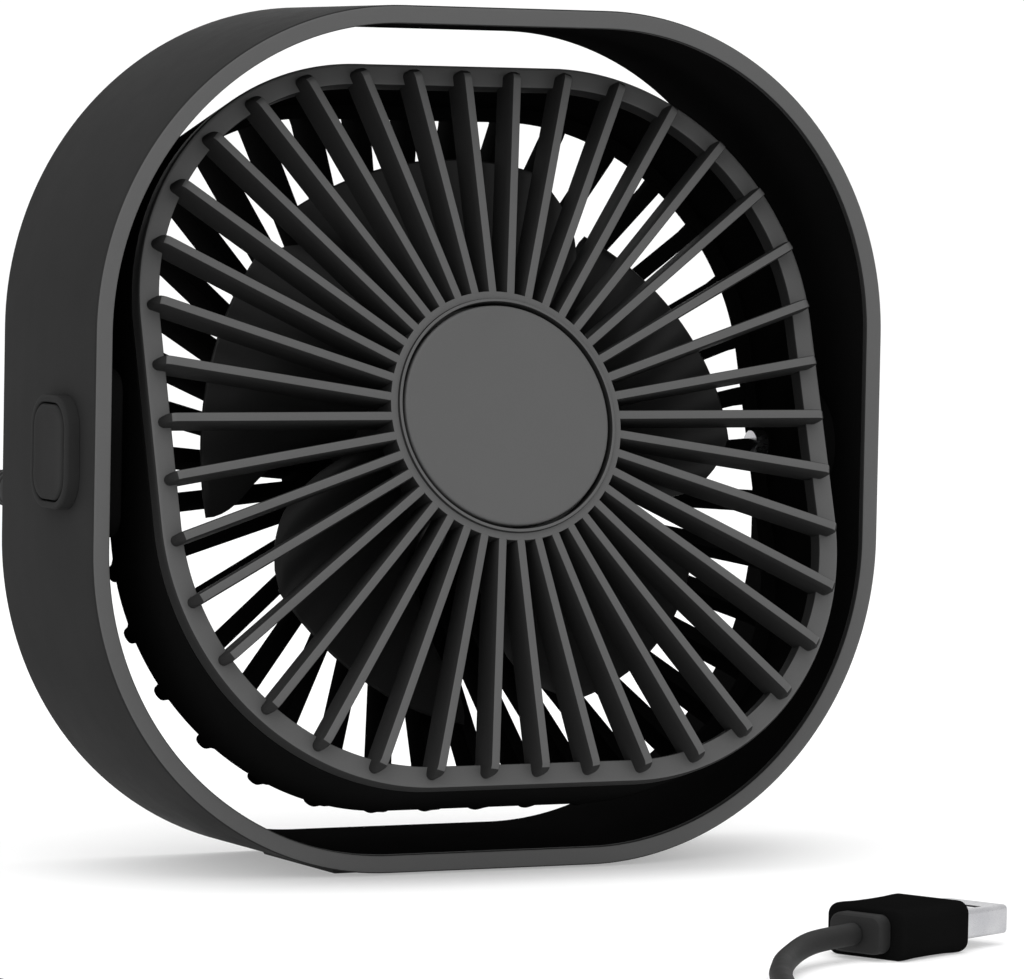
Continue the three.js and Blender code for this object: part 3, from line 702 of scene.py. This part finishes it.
def front_finger(body, angle):
    """A finger from the hub to past the rim's inner edge, where it drops and narrows."""
    start = reach(RIM, angle)
    back, root, front = -17.0, RIM_Y[0] + 0.4, -23.0
    shoulder, past, narrowing, drop = 0.4, 2.0, 0.94, 2.9
    tip = start + shoulder + past
    straight = (HUB_R - 0.5, start - 1.0, start + 0.35)
    stations = [(r, finger_loop(front, back, 1)) for r in straight]
    for share in round_end(10):
        r = start + shoulder + past * share
        narrow = max(0.06, quarter((r - tip + narrowing) / narrowing))
        height = front + drop * (1 - math.sqrt(max(0.0, 1 - share**2.2)))
        stations.append((r, finger_loop(min(height, root - 0.3), root, narrow)))
    bar(body, angle, stations)


def front_grille():
    """Rim, hub and fingers."""
    body = Body()
    front, back = RIM_Y
    line = [(0, back, 0.15), (0, front, 0.75), (RIM, front, 0.35), (RIM, back, 0.1)]
    body.band(HEAD, filleted(line, 5))
    hub = [(0.05, -20.4, 0), (19.6, -20.4, 0), (19.6, -23.6, 0.15), (20.15, -23.6, 0.18)]
    hub += [(20.25, -23.03, 0.06), (HUB_R, -23.03, 0.15), (HUB_R, -17.2, 0.2), (0.05, -17.2, 0)]
    body.lathe(filleted(hub, 4), "Y", 160)
    for k in range(SPOKES):
        front_finger(body, 2 * math.pi * k / SPOKES)
    grille = body.make("grille_front", "head", "face_plastic", ("front_grille",), IN_HEAD, 35)
    # painted shade: faces that don't look straight ahead get the darker copy of the plastic
    paint_shade_on_flanks(grille, IN_HEAD)


def rib_loop(low, high, half, flare=0.0):
    """Cross-section of a rear rib: rounded behind, and wider at its foot by the flare."""
    edge = min(0.45, 0.4 * (high - low))
    side = [(half + flare, low), (half + 0.25 * flare, low + 0.4 * (high - low))]
    side += [(half, high - edge), (half - 0.3 * edge, high - 0.3 * edge), (half - edge, high)]
    return [(-t, y) for t, y in side] + list(reversed(side))


def rear_rib(body, angle):
    """One rib of the rear cone: its outer end rounds over the housing's rear edge as a nub."""
    start = reach(RIM, angle)
    edge = start - 1.5
    tip, rear = start + 3.7, HOUSING_Y[1]
    crown, foot = rear + 3.6, rear - 1.8
    hub_r, hub_y, deep = 22.0, 19.5, 5.5
    rounding, narrowing = 1.2, 1.15
    bend = tip - rounding

    def high(r):
        return hub_y + (crown - hub_y) * (r - hub_r) / (bend - hub_r)

    def low(r):
        if r > edge:
            return foot
        return hub_y - deep + (foot - hub_y + deep) * (r - hub_r) / (edge - hub_r)

    straight = (21.0, 30, 42, edge, start + 0.35)
    stations = [(r, rib_loop(low(r), high(r), 1.15)) for r in straight]
    for share in round_end(9):
        r = bend + rounding * share
        half = 1.4 * max(0.3, quarter((r - tip + narrowing) / narrowing))
        top = crown - rounding * (1 - quarter(share))
        stations.append((r, rib_loop(rear - 0.3, top, half, 1.1)))
    bar(body, angle, stations)


def rear_housing():
    """Wall, hub, cone of ribs and the two bosses on the tilt axis."""
    body = Body()
    front, back = HOUSING_Y
    line = [(0, front, 0.2), (1.8, front, 0.1), (1.8, back - 2, 0), (RIM, back - 2, 0.2)]
    line += [(RIM, back, 0.3), (0, back, 0.6)]
    body.band(HEAD, filleted(line, 4))
    hub = [(3.2, 17.3, 0), (20.4, 17.3, 0), (20.4, 12.8, 0.2), (23.0, 12.8, 0.3)]
    hub += [(23.0, 18.9, 0.3), (22.2, 19.5, 0.6), (16.4, 19.5, 0.2), (15.9, 19.2, 0.2)]
    hub += [(4.4, 19.2, 0.2), (3.2, 19.5, 0.2)]
    body.lathe(filleted(hub, 4), "Y", 120)
    for k in range(SPOKES):
        rear_rib(body, 2 * math.pi * k / SPOKES)
    for side in (-1, 1):
        x = HEAD["x"]
        boss = [(2.55, x - 1, 0), (6.4, x - 1, 0), (6.4, x, 0.1), (5.2, x + 0.5, 0.5)]
        boss += [(5.2, x + 1.9, 0.4), (2.55, x + 1.9, 0.1)]
        body.lathe([(r, side * u) for r, u in filleted(boss, 4)], "X", 64)
    body.make("rear_grille", "head", "black_plastic", ("rear_housing",), IN_HEAD, 35)


def centre_cap():
    """Flat round cap, a little dished, in the front hub."""
    line = [(0.05, -20.7, 0), (CAP_R, -20.7, 0), (CAP_R, CAP_Y, 0.55), (17.6, CAP_Y, 0.3)]
    line += [(14, CAP_Y + 0.03, 1), (0.05, CAP_Y + 0.06, 0)]
    body = Body().lathe(filleted(line, 5), "Y", 160)
    body.make("hub_cap", "head", "face_plastic", ("centre_cap",), IN_HEAD, 30)


def screw(name, body, node, low, high, radius, place):
    """Domed screw head with a cross recess, along X from low to high."""
    sides = 48
    turns = [2 * math.pi * k / sides for k in range(sides)]

    def cross(turn, wide, long):
        """Distance from the middle to the outline of a cross."""
        c, s = abs(math.cos(turn)) + 1e-9, abs(math.sin(turn)) + 1e-9
        return max(min(wide / c, long / s), min(long / c, wide / s))

    rings = [[about("X", radius, t, low) for t in turns]]
    for scale, back in ((1.0, 0.35), (0.93, 0.14), (0.78, 0.02)):
        rings.append([about("X", radius * scale, t, high - back) for t in turns])
    for scale, back in ((1.0, 0.0), (0.86, 0.3)):
        arms = [cross(t, 0.16 * radius * scale, 0.6 * radius * scale) for t in turns]
        rings.append([about("X", r, t, high - back) for r, t in zip(arms, turns)])
    Body().rings(rings).make(name, body, "steel", (node,), place, 30)


def screws():
    """Two screws on the pod and three on the rear hub."""
    face = POD_DEPTH - INNER_X
    for name, z in (("upper", 8.5), ("lower", -8.5)):
        at = AT_PIVOT @ Matrix.Translation((0, 8.5, z))
        node = f"housing_screw_{name}"
        screw(f"pod_screw_{name}", "frame", node, face - 0.2, face + 0.6, 1.3, at)
    circle = 13
    for k in range(3):
        turn = 2 * math.pi * k / 3 + math.pi / 2
        shift = Matrix.Translation((circle * math.cos(turn), 0, circle * math.sin(turn)))
        at = IN_HEAD @ shift @ Matrix.Rotation(math.pi / 2, 4, "Z")
        screw(f"rear_screw_{k + 1}", "head", f"motor_screw_{k + 1}", 19.1, 20.3, 1.5, at)


# ------------------------------------------------------------ impeller
BLADE_STEPS, BLADE_ACROSS = 20, 26
TIP_ROUNDING = {20: (0.75, 0.35), 21: (0.4, 0.1), 22: (0.1, 0.0)}  # (share of thickness, pull-in)


def blade(body, angle):
    """A swept, cambered blade that leans less and gets thinner towards its rounded tip."""
    root, tip, front, back, thick = 16.4, 48.5, -13.6, 1.2, 1.4
    sweep, camber, thinning, flattening = 0.42, 1.6, 0.45, 0.25
    taper_from, taper = 0.7, 0.2  # the chord narrows over the outer part
    loop = list(range(BLADE_ACROSS + 1))
    loop = [(1, k) for k in loop] + [(-1, k) for k in reversed(loop)]  # back face, front face
    rings = []
    for i in range(BLADE_STEPS + 3):
        out = min(1.0, i / BLADE_STEPS)
        narrowing = max(0.0, (out - taper_from) / (1 - taper_from))
        chord = math.radians(60 + 6 * out) * (1 - taper * narrowing**2)
        shrink, pull = TIP_ROUNDING.get(i, (1.0, 0.0))
        r = root + out * (tip - root) - pull
        ring = []
        for side, k in loop:
            along = k / BLADE_ACROSS
            off = 2 * along - 1
            thickness = thick * (1 - thinning * out) * shrink
            thickness *= 0.12 + 0.88 * math.sqrt(max(0.0, 1 - off**6))
            turn = angle + sweep * out**1.4 + (along - 0.5) * chord
            lean = front + (back - front) * (0.5 + (along - 0.5) * (1 - flattening * out))
            y = lean - camber * (1 - off**2) + side * thickness / 2
            ring.append((r * math.cos(turn), y, r * math.sin(turn)))
        rings.append(ring)
    body.rings(rings)


def impeller():
    """Cup over the motor, with the blades on it."""
    body = Body()
    cup = [(1.03, -15.8, 0.1), (17.2, -15.8, 2.2), (17.2, 10.5, 0.3), (15.8, 10.5, 0.2)]
    cup += [(15.8, -13.2, 0.4), (1.03, -13.2, 0)]
    body.lathe(filleted(cup, 8), "Y", 120)
    for k in range(BLADES):
        blade(body, 2 * math.pi * k / BLADES)
    body.make("fan_rotor", "impeller", "blade_plastic", ("impeller",), IN_HEAD, 30)


frame_shell()
frame_liner()
foot_pad()
button_pieces()
switch_pod()
right_pivot()
front_grille()
rear_housing()
centre_cap()
screws()
impeller()


# ------------------------------------------------------------ floor, light and finish
def make_stage():
    """Pale seamless floor, squared to the camera, that curves up into a backdrop."""
    back, bend, top, steps = 2.4, 1.2, 4.0, 12
    line = [(y, 0.0) for y in (-back, -1.0, 0.0, 1.0, back)]
    for k in range(1, steps + 1):
        turn = math.pi / 2 * k / steps
        line.append((back + bend * math.sin(turn), bend * (1 - math.cos(turn))))
    line.append((back + bend, top))
    xs = (-4.0, -2.0, -0.8, 0.8, 2.0, 4.0)
    facing = Matrix.Rotation(CAMERA_TURN, 3, "Z")
    points = [facing @ Vector((x, y, z)) for y, z in line for x in xs]
    wide = len(xs)
    corners = [k * wide + i for k in range(len(line) - 1) for i in range(wide - 1)]
    faces = [(c, c + 1, c + wide + 1, c + wide) for c in corners]
    mesh = bpy.data.meshes.new("studio_floor")
    mesh.from_pydata(points, [], faces)
    mesh.shade_smooth()
    obj = bpy.data.objects.new("studio_floor", mesh)
    n = Nodes("studio_floor")
    cloud = n.noise(3.0, 2.0, 0.5)
    colour = n.mix(n.remap(cloud, 0.0, 1.0), grey(0.66), grey(0.68))
    n.set(Base_Color=colour, Roughness=0.9, Specular_IOR_Level=0.0)
    n.set(Emission_Color=(1, 1, 1, 1), Emission_Strength=0.34)
    obj.data.materials.append(n.material)
    bpy.context.scene.collection.objects.link(obj)


def area_light(name, place, target, size, power):
    """A square light of some width that faces the target."""
    data = bpy.data.lights.new(name, "AREA")
    data.shape = "RECTANGLE"
    data.size = data.size_y = size
    data.energy = power
    light = bpy.data.objects.new(name, data)
    light.location = place
    aim = Vector(target) - Vector(place)
    light.rotation_euler = aim.to_track_quat("-Z", "Y").to_euler()
    bpy.context.scene.collection.objects.link(light)


def make_light():
    """White surroundings, two soft lights and plain view settings."""
    world = bpy.data.worlds.new("studio")
    world.use_nodes = True
    background = world.node_tree.nodes["Background"]
    background.inputs["Color"].default_value = (1, 1, 1, 1)
    background.inputs["Strength"].default_value = 1.0
    bpy.context.scene.world = world
    area_light("overhead", (-0.2, -0.3, 1.5), (0, 0, 0.05), size=1.6, power=11.0)
    area_light("front_left", (-1.2, -1.3, 0.9), (0, 0, 0.07), size=1.0, power=5.0)
    bpy.context.scene.view_settings.view_transform = "Standard"
    bpy.context.scene.view_settings.look = "None"


make_stage()
make_light()
